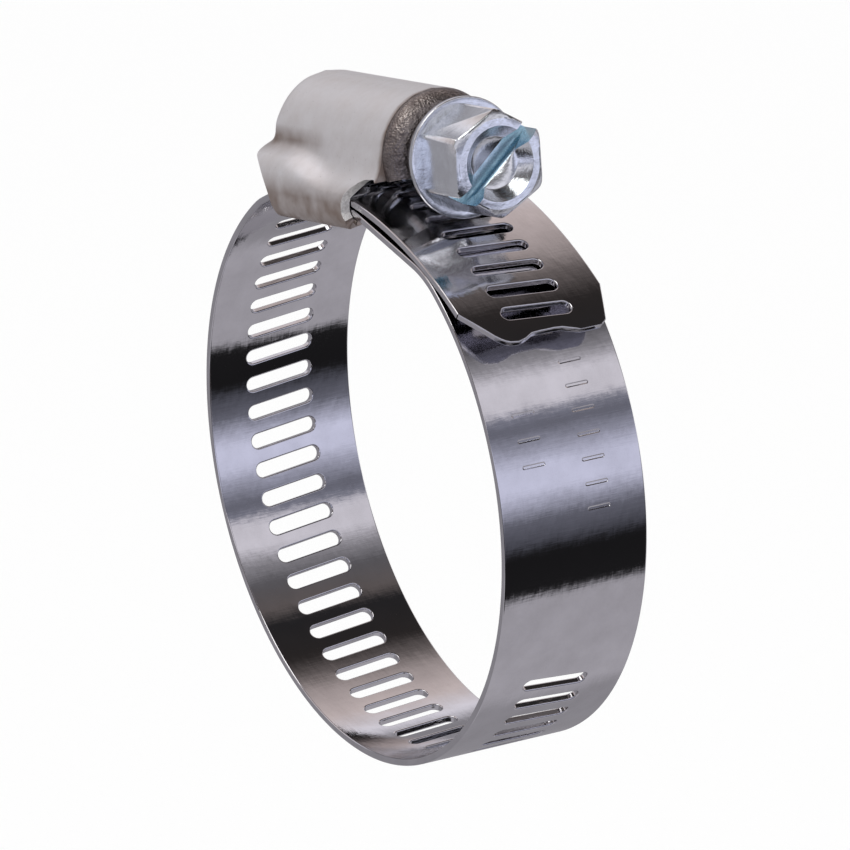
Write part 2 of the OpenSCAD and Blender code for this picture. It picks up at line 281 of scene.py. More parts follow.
head_start = (-2.4, head_z, 0.0)
head_runs = [(6.0, 0), arc(5, 21)]
place = head_start
for run in head_runs:
    place = step(place, run)
length, turn, ramp_end = run_to_circle(place, 8)
ramp_runs = [(length, 0), arc(8, turn)]
rear_length, rear_turn, rear_end = run_to_circle(step((5.0, tail_z, 0.0), arc(5, 18)), 8)
front_bend_x = 3.9
curve_l = tail_l - front_bend_x - arc(5, 13)[0]
loop_runs = [arc(loop_r, ramp_end + 180 + rear_end)]
rear_runs = [arc(8, rear_turn), (rear_length, 0), arc(5, 18), (5.0 + front_bend_x, 0)]
tail_runs = [arc(5, 13), (curve_l, degrees(curve_l / 35))]
band_runs = head_runs + ramp_runs + loop_runs + rear_runs + tail_runs
tip_u = sum(run[0] for run in band_runs)
middle_u = tip_u - tail_l
tail_hinge_u = middle_u + 0.62 * pitch + pitch / 2
slots_before, slots_after = 40, 9
first_u = tail_hinge_u - slots_before * pitch
last_u = tail_hinge_u + slots_after * pitch


def path(name, begin, runs, every=0.2):
    """The middle line of a bent strip, as a curve."""
    place, points = begin, [begin[:2]]
    for length, turn in runs:
        n = ceil(length / every)
        for _ in range(n):
            place = step(place, (length / n, turn / n))
            points.append(place[:2])
    line = bpy.data.curves.new(name, "CURVE")
    line.dimensions = "3D"
    spline = line.splines.new("POLY")
    spline.points.add(len(points) - 1)
    spline.points.foreach_set("co", np.ravel([(x * MM, 0, z * MM, 1) for x, z in points]))
    thing = bpy.data.objects.new(name, line)
    bpy.context.scene.collection.objects.link(thing)
    return thing


def rim(outline, out, thick, r):
    """The rounded edge all along an outline of a flat strip, from its top face to its bottom face."""
    turns = np.radians([0, 30, 60, 90])
    inset = np.concatenate([r - r * np.sin(turns), (r - r * np.sin(turns))[::-1]])
    up = thick / 2 - r + r * np.cos(turns)
    height = np.concatenate([up, -up[::-1]])
    across = np.concatenate([np.sin(turns), np.sin(turns)[::-1]])
    over = np.concatenate([np.cos(turns), -np.cos(turns)[::-1]])
    outline, out = np.asarray(outline, float)[:, None, :], np.asarray(out, float)[:, None, :]
    flat = outline - out * inset[None, :, None]
    p = np.concatenate([flat, np.broadcast_to(height[None, :, None], flat.shape[:2] + (1,))], -1)
    side = out * across[None, :, None] + 0 * flat
    f = np.concatenate([side, np.broadcast_to(over[None, :, None], flat.shape[:2] + (1,))], -1)
    return p, f


def faces_of(flat, thick):
    """The top and the bottom of a strip over the same grid of flat points."""
    for sign in (1, -1):
        p = np.concatenate([flat, np.full(flat.shape[:2] + (1,), sign * thick / 2)], -1)
        f = np.zeros_like(p)
        f[..., 2] = sign
        yield p, f


mid_y = np.linspace(-3.6, 3.6, 11)


def stations(half):
    """Where the lengthwise mesh lines cross the strip, for a face of this half width."""
    outer = 3.6 + (half - 3.6) * np.array([1 / 3, 2 / 3, 1])
    return np.concatenate([-outer[::-1], mid_y, outer])


def plain_length(u, half, thick, r):
    """A stretch of strip without slots, of constant width."""
    grid = np.stack(np.meshgrid(u, stations(half - r), indexing="ij"), -1)
    sheets = list(faces_of(grid, thick))
    for side in (-1, 1):
        edge = np.stack([u, np.full(len(u), side * half)], 1)
        sheets.append(rim(edge, np.tile([0, side], (len(u), 1)), thick, r))
    return sheets


def blunt_end(u, half, thick, r, sign):
    """The cut end of a plain strip."""
    y = stations(half - r)
    z = np.array([-thick / 2, thick / 2])
    p = np.stack(np.broadcast_arrays(u, y[:, None], z[None, :]), -1)
    return p, np.broadcast_to([sign, 0.0, 0.0], p.shape)


def clipped(u, start_u, side):
    """Half the tail's width at a distance along it, on one side: full, then narrowing at the clipped corner."""
    slope = (band_w / 2 - abs(tip_left if side < 0 else tip_right)) / chamfer_l
    return band_w / 2 - slope * np.maximum(0, np.asarray(u) - start_u), slope


def slotted_length(chamfer_from=None):
    """One pitch of strip round a slot, from -pitch/2 to pitch/2. The last one also narrows."""
    n = 10
    u, y = np.linspace(-pitch / 2, pitch / 2, n + 1), mid_y
    frame_line = ([(a, y[0]) for a in u[:-1]] + [(u[-1], b) for b in y[:-1]]
                  + [(a, y[-1]) for a in u[:0:-1]] + [(u[0], b) for b in y[:0:-1]])
    h, r = (slot_l - slot_w) / 2, slot_w / 2
    ends = np.radians(np.linspace(180, 360, n + 1)[:-1])
    away_dir = ([(cos(a), sin(a)) for a in ends] + [(1, 0)] * n
                + [(-cos(a), -sin(a)) for a in ends] + [(-1, 0)] * n)
    side_y = np.linspace(-h, h, n + 1)[:-1]
    core = [(0, -h)] * n + [(0, b) for b in side_y] + [(0, h)] * n + [(0, -b) for b in side_y]
    lean = np.array([[cos(slot_lean), -sin(slot_lean)], [sin(slot_lean), cos(slot_lean)]])
    away_dir, core = np.array(away_dir) @ lean, np.array(core) @ lean
    loop = lambda a: np.concatenate([a, a[:1]])
    frame_line, away_dir, core = loop(np.array(frame_line)), loop(away_dir), loop(core)
    outline = core + r * away_dir
    inner = outline + slot_round * away_dir
    share = np.linspace(0, 1, 4)[None, :, None]
    sheets = list(faces_of(inner[:, None, :] * (1 - share) + frame_line[:, None, :] * share, band_t))
    sheets.append(rim(outline, -away_dir, band_t, slot_round))
    start_u = 1e9 if chamfer_from is None else chamfer_from
    for side in (-1, 1):
        half, slope = clipped(u, start_u, side)
        slant = np.where(half < band_w / 2 - 1e-6, slope, 0)
        lie = np.stack([slant, side * np.ones_like(slant)], 1) / np.sqrt(1 + slant ** 2)[:, None]
        inside = half - edge_round * np.sqrt(1 + slant ** 2)
        k = np.linspace(0, 1, 4)[None, :]
        strip_y = side * (3.6 + (inside[:, None] - 3.6) * k)
        sheets += list(faces_of(np.stack([np.broadcast_to(u[:, None], strip_y.shape), strip_y], -1),
                                band_t))
        sheets.append(rim(np.stack([u, side * inside], 1) + edge_round * lie, lie, band_t, edge_round))
    return sheets


def tip():
    """The end of the tail, from the last slot's pitch to the two lobes."""
    shrink = []
    for side in (-1, 1):
        half, slope = clipped(last_u, tip_u - chamfer_l, side)
        shrink.append((float(half), slope, sqrt(1 + slope ** 2)))
    (left, slope_l, slant_l), (right, slope_r, slant_r) = shrink
    y0 = np.concatenate([stations(left - edge_round * slant_l)[:7], mid_y[4:7],
                         stations(right - edge_round * slant_r)[-7:]])
    s = np.linspace(0, 1, 15)[:, None]
    low, high = y0[0], y0[-1]
    # Each corner leaves the clipped side this far before the end and rounds off over this width
    drop_l, width_l, drop_r, width_r = 0.87, 1.5, 0.8, 0.8
    lobe = 0.33
    end_low = low + slope_l * (tip_u - edge_round - drop_l - last_u)
    end_high = high - slope_r * (tip_u + lobe - drop_r - last_u)
    ye = end_low + (y0 - low) / (high - low) * (end_high - end_low)
    y = y0[None, :] * (1 - s) + ye[None, :] * s
    hollow = 0.55 * smooth(ye, -2.6, -1.2) - (0.55 + edge_round + lobe) * smooth(ye, 0.8, 3.9)
    round_off = (drop_l * np.clip((end_low + width_l - ye) / width_l, 0, 1) ** 2.2
                 + drop_r * np.clip((ye - end_high + width_r) / width_r, 0, 1) ** 2.5)
    end_u = tip_u - edge_round - hollow - round_off
    u = last_u + s * (end_u - last_u)[None, :]
    grid = np.stack([u, y], -1)
    sheets = list(faces_of(grid, band_t))
    edge = np.concatenate([grid[:, 0], grid[-1, 1:], grid[-2::-1, -1]])
    run = np.gradient(edge, axis=0)
    out = np.stack([run[:, 1], -run[:, 0]], 1)
    out /= np.linalg.norm(out, axis=1)[:, None]
    out[0], out[-1] = np.array([slope_l, -1]) / slant_l, np.array([slope_r, 1]) / slant_r
    sheets.append(rim(edge + edge_round * out, out, band_t, edge_round))
    return sheets


# The strip is laid out flat and then bent: x along it, y across it and z through it
cell_slotted = shape("cell slotted", slotted_length())
cell_last = shape("cell last", slotted_length(tip_u - chamfer_l - (last_u - pitch / 2)))
plain_n = ceil(first_u / pitch)
plain_pitch = first_u / plain_n
cell_plain = shape("cell plain", plain_length(np.linspace(-plain_pitch / 2, plain_pitch / 2, 11),
                                        band_w / 2,
                                              band_t, edge_round))
cell_tip = shape("cell tip", tip() + [blunt_end(0, band_w / 2, band_t, edge_round, -1)])
band_path = path("band path", head_start, band_runs)


def geometry_tree(name, inputs):
    tree = bpy.data.node_groups.new(name, "GeometryNodeTree")
    tree.interface.new_socket("Geometry", in_out="INPUT", socket_type="NodeSocketGeometry")
    tree.interface.new_socket("Geometry", in_out="OUTPUT", socket_type="NodeSocketGeometry")
    for label, kind in inputs:
        tree.interface.new_socket(label, in_out="INPUT", socket_type=kind)
    return tree, node(tree, "NodeGroupInput", (-1200, 0)), node(tree, "NodeGroupOutput", (1400, 0))


def run_tree(name, base, tree, values):
    """Puts a node tree on an object, sets its named inputs and bakes the result into a new object."""
    thing = bpy.data.objects.new(name, base)
    bpy.context.scene.collection.objects.link(thing)
    step = thing.modifiers.new(tree.name, "NODES")
    step.node_group = tree
    for item in tree.interface.items_tree:
        if item.item_type == "SOCKET" and item.in_out == "INPUT" and item.name in values:
            step[item.identifier] = values[item.name]
    return baked(thing)


# Strip: rows of plain and slotted cells end to end, joined to the tip
strip, start, end = geometry_tree("Strip of cells", [
    ("Plain cell", "NodeSocketObject"), ("Slotted cell", "NodeSocketObject"), ("Last cell",
                                        "NodeSocketObject"),
    ("Plain count", "NodeSocketInt"), ("Slot count", "NodeSocketInt"), ("Plain pitch", "NodeSocketFloat"),
    ("Slot pitch", "NodeSocketFloat"), ("First slot", "NodeSocketFloat"), ("Weld", "NodeSocketFloat")])
joined = node(strip, "GeometryNodeJoinGeometry", (600, 0))
row_ends = {}
for i, (cell, count, gap) in enumerate((("Plain cell", "Plain count", "Plain pitch"),
                                        ("Slotted cell", "Slot count", "Slot pitch"))):
    row = node(strip, "GeometryNodeMeshLine", (-500, -300 * i))
    half = node(strip, "ShaderNodeMath", (-900, -300 * i), operation="MULTIPLY")
    half.inputs[1].default_value = 0.5
    begin = node(strip, "ShaderNodeCombineXYZ", (-700, -300 * i))
    apart = node(strip, "ShaderNodeCombineXYZ", (-700, -300 * i - 150))
    info = node(strip, "GeometryNodeObjectInfo", (-500, -300 * i - 150))
    put = node(strip, "GeometryNodeInstanceOnPoints", (-200, -300 * i))
    join_nodes(strip, (start.outputs[count], row.inputs["Count"]), (start.outputs[gap], half.inputs[0]),
               (start.outputs[gap], apart.inputs[0]), (begin.outputs[0], row.inputs["Start Location"]),
               (apart.outputs[0], row.inputs["Offset"]), (start.outputs[cell], info.inputs["Object"]),
               (row.outputs["Mesh"], put.inputs["Points"]), (info.outputs["Geometry"],
                                        put.inputs["Instance"]),
               (put.outputs["Instances"], joined.inputs["Geometry"]))
    if i == 0:
        join_nodes(strip, (half.outputs[0], begin.inputs[0]))
    else:
        first = node(strip, "ShaderNodeMath", (-900, -600), operation="ADD")
        join_nodes(strip, (half.outputs[0], first.inputs[0]), (start.outputs["First slot"],
                                        first.inputs[1]),
                   (first.outputs[0], begin.inputs[0]))
        across = node(strip, "ShaderNodeMath", (-900, -800), operation="MULTIPLY_ADD")
        shift = node(strip, "ShaderNodeCombineXYZ", (-700, -800))
        moved = node(strip, "GeometryNodeTransform", (-200, -800))
        last_info = node(strip, "GeometryNodeObjectInfo", (-500, -800))
        join_nodes(strip, (start.outputs["Slot count"], across.inputs[0]),
                   (start.outputs["Slot pitch"], across.inputs[1]), (first.outputs[0], across.inputs[2]),
                   (across.outputs[0], shift.inputs[0]), (shift.outputs[0], moved.inputs["Translation"]),
                   (start.outputs["Last cell"], last_info.inputs["Object"]),
                   (last_info.outputs["Geometry"], moved.inputs["Geometry"]),
                   (moved.outputs["Geometry"], joined.inputs["Geometry"]))
real = node(strip, "GeometryNodeRealizeInstances", (800, 0))
weld = node(strip, "GeometryNodeMergeByDistance", (1000, 0))
join_nodes(strip, (start.outputs["Geometry"], joined.inputs["Geometry"]),
           (joined.outputs["Geometry"], real.inputs["Geometry"]), (real.outputs["Geometry"],
                                        weld.inputs["Geometry"]),
           (start.outputs["Weld"], weld.inputs["Distance"]), (weld.outputs["Geometry"], end.inputs[0]))

# Bend: every point of a flat strip goes to its place along the path, and its facing turns with the path
bend, start, end = geometry_tree("Bend along a path", [
    ("Path", "NodeSocketObject"), ("Finish", "NodeSocketMaterial")])
here = node(bend, "GeometryNodeInputPosition", (-1200, -300))
keep = node(bend, "GeometryNodeStoreNamedAttribute", (-900, 0), data_type="FLOAT_VECTOR", domain="POINT")
keep.inputs["Name"].default_value = "flat"
was = node(bend, "GeometryNodeInputNamedAttribute", (-900, -300), data_type="FLOAT_VECTOR")
was.inputs["Name"].default_value = "flat"
faced = node(bend, "GeometryNodeInputNamedAttribute", (-900, -500), data_type="FLOAT_VECTOR")
faced.inputs["Name"].default_value = "facing"
line_info = node(bend, "GeometryNodeObjectInfo", (-900, -700))
parts = node(bend, "ShaderNodeSeparateXYZ", (-700, -300))
face_parts = node(bend, "ShaderNodeSeparateXYZ", (-700, -500))
probe = node(bend, "GeometryNodeSampleCurve", (-450, -600), mode="LENGTH", use_all_curves=True)
along = node(bend, "ShaderNodeSeparateXYZ", (-250, -700))
upright = node(bend, "ShaderNodeCombineXYZ", (0, -700))
minus = node(bend, "ShaderNodeMath", (-120, -800), operation="MULTIPLY")
minus.inputs[1].default_value = -1
sideways = node(bend, "ShaderNodeCombineXYZ", (0, -300))
raised = node(bend, "ShaderNodeVectorMath", (200, -500), operation="SCALE")
summed = node(bend, "ShaderNodeVectorMath", (400, -400), operation="ADD")
placed = node(bend, "ShaderNodeVectorMath", (600, -400), operation="ADD")
face_y = node(bend, "ShaderNodeCombineXYZ", (0, -1000))
face_t = node(bend, "ShaderNodeVectorMath", (200, -900), operation="SCALE")
face_n = node(bend, "ShaderNodeVectorMath", (200, -1050), operation="SCALE")
face_1 = node(bend, "ShaderNodeVectorMath", (400, -950), operation="ADD")
face_2 = node(bend, "ShaderNodeVectorMath", (600, -950), operation="ADD")
store = node(bend, "GeometryNodeStoreNamedAttribute", (700, 0), data_type="FLOAT_VECTOR", domain="POINT")
store.inputs["Name"].default_value = "facing"
move = node(bend, "GeometryNodeSetPosition", (900, 0))
paint = node(bend, "GeometryNodeSetMaterial", (1100, 0))
join_nodes(
    bend, (start.outputs["Geometry"], keep.inputs["Geometry"]), (here.outputs[0], keep.inputs["Value"]),
    (start.outputs["Path"], line_info.inputs["Object"]), (was.outputs[0], parts.inputs[0]),
    (faced.outputs[0], face_parts.inputs[0]), (line_info.outputs["Geometry"], probe.inputs["Curves"]),
    (parts.outputs[0], probe.inputs["Length"]), (probe.outputs["Tangent"], along.inputs[0]),
    (along.outputs[2], minus.inputs[0]), (minus.outputs[0], upright.inputs[0]), (along.outputs[0],
                                        upright.inputs[2]),
    (parts.outputs[1], sideways.inputs[1]), (upright.outputs[0], raised.inputs[0]), (parts.outputs[2],
                                        raised.inputs["Scale"]),
    (raised.outputs[0], summed.inputs[0]), (sideways.outputs[0], summed.inputs[1]),
    (summed.outputs[0], placed.inputs[0]), (probe.outputs["Position"], placed.inputs[1]),
    (face_parts.outputs[1], face_y.inputs[1]), (probe.outputs["Tangent"], face_t.inputs[0]),
    (face_parts.outputs[0], face_t.inputs["Scale"]), (upright.outputs[0], face_n.inputs[0]),
    (face_parts.outputs[2], face_n.inputs["Scale"]), (face_t.outputs[0], face_1.inputs[0]),
    (face_n.outputs[0], face_1.inputs[1]), (face_1.outputs[0], face_2.inputs[0]), (face_y.outputs[0],
                                        face_2.inputs[1]),
    (keep.outputs["Geometry"], store.inputs["Geometry"]), (face_2.outputs[0], store.inputs["Value"]),
    (store.outputs["Geometry"], move.inputs["Geometry"]), (placed.outputs[0], move.inputs["Position"]),
    (move.outputs["Geometry"], paint.inputs["Geometry"]), (start.outputs["Finish"],
                                        paint.inputs["Material"]),
    (paint.outputs["Geometry"], end.inputs[0]))


def set_facings(mesh):
    """Shades the mesh by its stored facings, so that reflections run on smoothly from piece to piece."""
    n = np.zeros(len(mesh.vertices) * 3, np.float32)
    mesh.attributes["facing"].data.foreach_get("vector", n)
    n = n.reshape(-1, 3)
    n /= np.maximum(np.linalg.norm(n, axis=1), 1e-9)[:, None]
    mesh.polygons.foreach_set("use_smooth", np.ones(len(mesh.polygons), bool))
    mesh.attributes.remove(mesh.attributes["facing"])
    mesh.normals_split_custom_set_from_vertices(n.tolist())


# The band's finish: a mirror polish with fine lines drawn along the strip, a few scratches across it, and
# two rows of plain stamped bars on the outside, near the tail
polished, tree, shader = finish("polished band steel")
shader.inputs["Metallic"].default_value = 1.0
where = node(tree, "ShaderNodeAttribute", (-1500, 0), attribute_name="flat")
in_mm = node(tree, "ShaderNodeVectorMath", (-1300, 0), operation="SCALE")
in_mm.inputs["Scale"].default_value = 1000
clouds = use(tree, cloudy, (-700, 300), Size=0.35, Base=0.035, Spread=0.06, Light=(0.66, 0.65, 0.67, 1),
             Dark=(0.58, 0.57, 0.585, 1))
hairs = use(tree, drawn, (-900, -100), Stretch=(0.05, 5.0, 1.0), Fineness=1.0, Depth=1.0)
scuffs = use(tree, drawn, (-900, -300), Stretch=(3.5, 0.35, 1.0), Fineness=1.2, Depth=0.6)
waves = use(tree, drawn, (-900, -500), Stretch=(0.12, 0.25, 1.0), Fineness=1.0, Depth=9.0)
add_1 = node(tree, "ShaderNodeMath", (-650, -200), operation="ADD")
add_2 = node(tree, "ShaderNodeMath", (-500, -250), operation="ADD")
relief = node(tree, "ShaderNodeBump", (-150, -200))
relief.inputs["Distance"].default_value = 0.0000045
relief.inputs["Strength"].default_value = 1.0

# Stamped bars: a row of short strokes across the strip, sunk by the height of a capsule
stamped, start, end = new_effect(
    "Stamped bars",
    [("Where", "NodeSocketVector", None), ("From", "NodeSocketFloat", 0.0), ("Gap", "NodeSocketFloat", 1.9),
     ("Count", "NodeSocketFloat", 6.0), ("Across", "NodeSocketFloat", 0.0), ("Half length",
                                        "NodeSocketFloat", 0.8),
     ("Half width", "NodeSocketFloat", 0.14)],
    [("Depth", "NodeSocketFloat")])


def chain(group, spots, *steps):
    """A row of Math nodes: each step is (operation, inputs), where an input is a socket, a number or None
    for the result of the step before."""
    before = None
    for i, (operation, *inputs) in enumerate(steps):
        made = node(group, "ShaderNodeMath", (spots[0] + 160 * i, spots[1]), operation=operation)
        for k, value in enumerate(inputs):
            if value is None:
                group.links.new(before, made.inputs[k])
            elif isinstance(value, (int, float)):
                made.inputs[k].default_value = value
            else:
                group.links.new(value, made.inputs[k])
        before = made.outputs[0]
    return before


xyz = node(stamped, "ShaderNodeSeparateXYZ", (-700, 0))
stamped.links.new(start.outputs["Where"], xyz.inputs[0])
place_in_row = chain(stamped, (-500, 200), ("SUBTRACT", xyz.outputs[0], start.outputs["From"]),
                     ("DIVIDE", None, start.outputs["Gap"]))
off_u = chain(stamped, (-500, 0), ("FRACT", place_in_row), ("SUBTRACT", None, 0.5),
              ("MULTIPLY", None, start.outputs["Gap"]))
off_y = chain(stamped, (-500, -200), ("SUBTRACT", xyz.outputs[1], start.outputs["Across"]), ("ABSOLUTE",
                                        None),
              ("SUBTRACT", None, start.outputs["Half length"]), ("MAXIMUM", None, 0.0))
squares = chain(stamped, (0, -100), ("MULTIPLY", off_u, off_u))
far = chain(stamped, (200, -100), ("MULTIPLY_ADD", off_y, off_y, squares), ("SQRT", None),
            ("DIVIDE", None, start.outputs["Half width"]), ("SUBTRACT", 1.0, None), ("MAXIMUM", None, 0.0),
            ("MULTIPLY", None, 2.0), ("MINIMUM", None, 1.0))
in_row = chain(stamped, (0, 300), ("GREATER_THAN", place_in_row, 0.0))
in_row_2 = chain(stamped, (0, 450), ("LESS_THAN", place_in_row, start.outputs["Count"]))
outside = chain(stamped, (0, 600), ("GREATER_THAN", xyz.outputs[2], 0.0))
sunk = chain(stamped, (300, 300), ("MULTIPLY", far, in_row), ("MULTIPLY", None, in_row_2),
             ("MULTIPLY", None, outside), ("MULTIPLY", None, -1.0))
stamped.links.new(sunk, end.inputs["Depth"])

loop_start_u = sum(run[0] for run in head_runs + ramp_runs)
row_1 = use(tree, stamped, (-900, -700), From=loop_start_u + loop_r * radians(ramp_end - 27), Gap=1.9,
            Count=7.0,
            Across=2.2, Half_length=0.85, Half_width=0.16)
row_2 = use(tree, stamped, (-900, -950), From=loop_start_u + loop_r * radians(ramp_end - 19), Gap=2.0,
            Count=3.0,
            Across=-3.0, Half_length=0.85, Half_width=0.16)
stamp = node(tree, "ShaderNodeMath", (-650, -700), operation="ADD")
stamp_relief = node(tree, "ShaderNodeBump", (-150, -600))
stamp_relief.inputs["Distance"].default_value = 0.00012
stamp_relief.inputs["Strength"].default_value = 1.0
join_nodes(
    tree, (where.outputs["Vector"], in_mm.inputs[0]), (in_mm.outputs[0], clouds.inputs["Where"]),
    (in_mm.outputs[0], hairs.inputs["Where"]), (in_mm.outputs[0], scuffs.inputs["Where"]),
    (in_mm.outputs[0], waves.inputs["Where"]), (in_mm.outputs[0], row_1.inputs["Where"]),
    (in_mm.outputs[0], row_2.inputs["Where"]), (hairs.outputs[0], add_1.inputs[0]),
    (scuffs.outputs[0], add_1.inputs[1]), (add_1.outputs[0], add_2.inputs[0]), (waves.outputs[0],
                                        add_2.inputs[1]),
    (add_2.outputs[0], relief.inputs["Height"]), (row_1.outputs[0], stamp.inputs[0]),
    (row_2.outputs[0], stamp.inputs[1]), (stamp.outputs[0], stamp_relief.inputs["Height"]),
    (relief.outputs["Normal"], stamp_relief.inputs["Normal"]), (stamp_relief.outputs["Normal"],
                                        shader.inputs["Normal"]),
    (clouds.outputs["Colour"], shader.inputs["Base Color"]), (clouds.outputs["Roughness"],
                                        shader.inputs["Roughness"]))

flat_band = run_tree("flat band", cell_tip.data, strip, {
    "Plain cell": cell_plain, "Slotted cell": cell_slotted, "Last cell": cell_last, "Plain count": plain_n,
    "Slot count": slots_before + slots_after - 1, "Plain pitch": plain_pitch * MM, "Slot pitch": pitch * MM,
    "First slot": first_u * MM, "Weld": 0.000002})
whole_band = run_tree("whole band", flat_band.data, bend, {"Path": band_path, "Finish": polished})
away(flat_band, cell_slotted, cell_last, cell_plain, cell_tip, band_path)

# The band bends a little at each of the CAD's hinges, so it is parted in the middle of every link, where it is
# stiff, into one part for each hinge
joints = [j for j in frame["joints"] if j["child"] != "screw"]
nodes_of = frame["record"]["behaviour"]["bodies"]


link_u = 5 * pitch
plain_span = ((tail_hinge_u - 7 * pitch - 7 * link_u) - loop_start_u) / 3
hinge_u = [sum(run[0] for run in head_runs), loop_start_u]
hinge_u += [loop_start_u + plain_span * i for i in (1, 2)]
hinge_u += [tail_hinge_u - 7 * pitch - link_u * i for i in range(7, -1, -1)]
hinge_u += [tail_hinge_u - 4 * pitch, tail_hinge_u]
coords = np.zeros(len(whole_band.data.vertices) * 3, np.float32)
whole_band.data.vertices.foreach_get("co", coords)
flat = np.zeros_like(coords)
whole_band.data.attributes["flat"].data.foreach_get("vector", flat)
facing = np.zeros_like(coords)
whole_band.data.attributes["facing"].data.foreach_get("vector", facing)
coords, flat, facing = coords.reshape(-1, 3), flat.reshape(-1, 3), facing.reshape(-1, 3)
corner = np.zeros(len(whole_band.data.loops), np.int32)
whole_band.data.loops.foreach_get("vertex_index", corner)
corner = corner.reshape(-1, 4)
face_u = flat[corner, 0].mean(1) / MM
middles = [-1] + [(a + b) / 2 for a, b in zip(hinge_u, hinge_u[1:])] + [tip_u + 1]
for joint, hinge, low, high in zip(joints, hinge_u, middles, middles[1:]):
    picked = corner[(face_u > low) & (face_u <= high)]
    used, local = np.unique(picked, return_inverse=True)
    mesh = bpy.data.meshes.new("band_" + joint["name"])
    mesh.from_pydata(coords[used].tolist(), [], local.reshape(-1, 4).tolist())
    mesh.attributes.new("flat", "FLOAT_VECTOR", "POINT").data.foreach_set("vector", flat[used].ravel())
    mesh.attributes.new("facing", "FLOAT_VECTOR", "POINT").data.foreach_set("vector", facing[used].ravel())
    mesh.materials.append(polished)
    set_facings(mesh)
    part = bpy.data.objects.new(mesh.name, mesh)
    bpy.context.scene.collection.objects.link(part)
    pivot = Vector(joint["pos_m"])
    near = flat[used, 0] / MM
    ahead = Vector(coords[used][np.argmin(abs(near - hinge - 1.5) + abs(flat[used, 1]) / MM)])
    behind = Vector(coords[used][np.argmin(abs(near - hinge + 1.5) + abs(flat[used, 1]) / MM)])
    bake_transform(part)
    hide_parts(*nodes_of[joint["child"]])
    if joint["parent"] == "clamp_body":
        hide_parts("band_head")
away(whole_band)

# ================================================================ Housing
# One piece of satin stainless sheet, pressed into a barrel over the screw, with a crease on each side at
# the rear, side walls outside the band, and feet folded in under the saddle.
sheet_t, saddle_t, barrel_r, crest_r, play = 0.78, 0.4, 5.1, 3.25, 0.07
screw_z = tail_z - band_t / 2 + play + crest_r
foot_z = head_z - band_t / 2 - saddle_t - sheet_t
outer_y = band_w / 2 + play + sheet_t
neck_x = 8.4


def through(points, each=5):
    """A smooth line through points, with the same number of steps from each to the next."""
    p = np.array(points, float)
    p = np.concatenate([2 * p[:1] - p[1:2], p, 2 * p[-1:] - p[-2:-1]])
    out = []
    for i in range(1, len(p) - 2):
        for k in np.arange(each) / each:
            a, b, c, d = p[i - 1], p[i], p[i + 1], p[i + 2]
            out.append(0.5 * (2 * b + (c - a) * k + (2 * a - 5 * b + 4 * c - d) * k ** 2
                              + (3 * b - a - 3 * c + d) * k ** 3))
    return np.array(out + [p[-2]])


def barrel_point(angle):
    return barrel_r * cos(radians(angle)), screw_z + barrel_r * sin(radians(angle))


# Half of the section from the top of the barrel down one side to the foot's inner end: (y, z) at the
# front, the same at the rear, and where the sheet ends at the rear and at the front
top_arc = [barrel_point(a) for a in (90, 68, 46, 24)]
wall = [(outer_y, 21.6), (outer_y - 0.06, 20.75), (outer_y - 0.45, foot_z + 0.12), (outer_y - 1.1, foot_z),
        (4.2, foot_z)]
section_front = top_arc + [(5.12, 25.6), (5.35, 24.7), (5.75, 24.0), (6.3, 23.45), (6.86, 23.0), (7.17,
                                        22.55)] + wall
section_rear = top_arc + [(4.9, 25.85), (5.05, 25.3), (5.6, 24.9), (6.3, 24.5), (6.9, 23.8), (7.18,
                                        22.85)] + wall
rear_x = [-9.7, -9.65, -9.6, -9.7, -9.9, -10.1, -10.2, -9.6, -8.3, -7.4, -6.8, -6.5, -6.3, -6.2, -6.1]
front_x = [neck_x] * 10 + [neck_x, 5.2, 5.0, 4.4, 3.3]
half_front, half_rear = through(section_front), through(section_rear)
half_rear_x = through([(x, 0) for x in rear_x])[:, 0]
half_front_x = through([(x, 0) for x in front_x])[:, 0]
both = lambda a, flip: np.concatenate([a[::-1] * flip, a[1:]])
front_line, rear_line = both(half_front, [-1, 1]), both(half_rear, [-1, 1])
x_rear, x_front = both(half_rear_x, 1), both(half_front_x, 1)
rows = 61
share = np.linspace(0, 1, rows)[:, None]
share = share - 0.12 * np.sin(2 * pi * share) / (2 * pi) * 4
x = x_rear[None, :] * (1 - share) + x_front[None, :] * share
creased = 1 - smooth(x, -5.5, 2.5)
y = front_line[None, :, 0] * (1 - creased) + rear_line[None, :, 0] * creased
z = front_line[None, :, 1] * (1 - creased) + rear_line[None, :, 1] * creased
# The rear of the barrel is drawn in to a round lip
on_barrel = smooth(z, 24.4, 26.0)
lip = 1 - np.sqrt(np.clip(1 - np.clip((x_rear[None, :] + 1.5 - x) / 1.5, 0, 1) ** 2, 0, 1))
pull = 1 - 0.26 * lip * on_barrel
y, z = y * pull, screw_z + (z - screw_z) * pull
p = np.stack([x, y, z], -1)
f = np.stack([0 * x, y, z - screw_z], -1)
housing = shape("housing_shell", [(p, f)])
tidy_mesh(housing, outward=False)
step_in = housing.modifiers.new("sheet", "SOLIDIFY")
step_in.thickness, step_in.offset, step_in.use_even_offset = sheet_t * MM, -1, True
step_in.use_rim = True
baked(housing)


def side_cutter(name, outline, depth=20.0):
    """A prism across the clamp with this outline of (x, z) points."""
    pts = np.array(outline, float)
    pts = np.concatenate([pts, pts[:1]])
    mesh_points = [(a, s * depth, b) for s in (-1, 1) for a, b in pts[:-1]]
    n = len(pts) - 1
    faces = [[i, (i + 1) % n, n + (i + 1) % n, n + i] for i in range(n)]
    faces += [list(range(n)), list(range(2 * n - 1, n - 1, -1))]
    mesh = bpy.data.meshes.new(name)
    mesh.from_pydata((np.array(mesh_points) * MM).tolist(), [], faces)
    thing = bpy.data.objects.new(name, mesh)
    bpy.context.scene.collection.objects.link(thing)
    return tidy_mesh(thing)


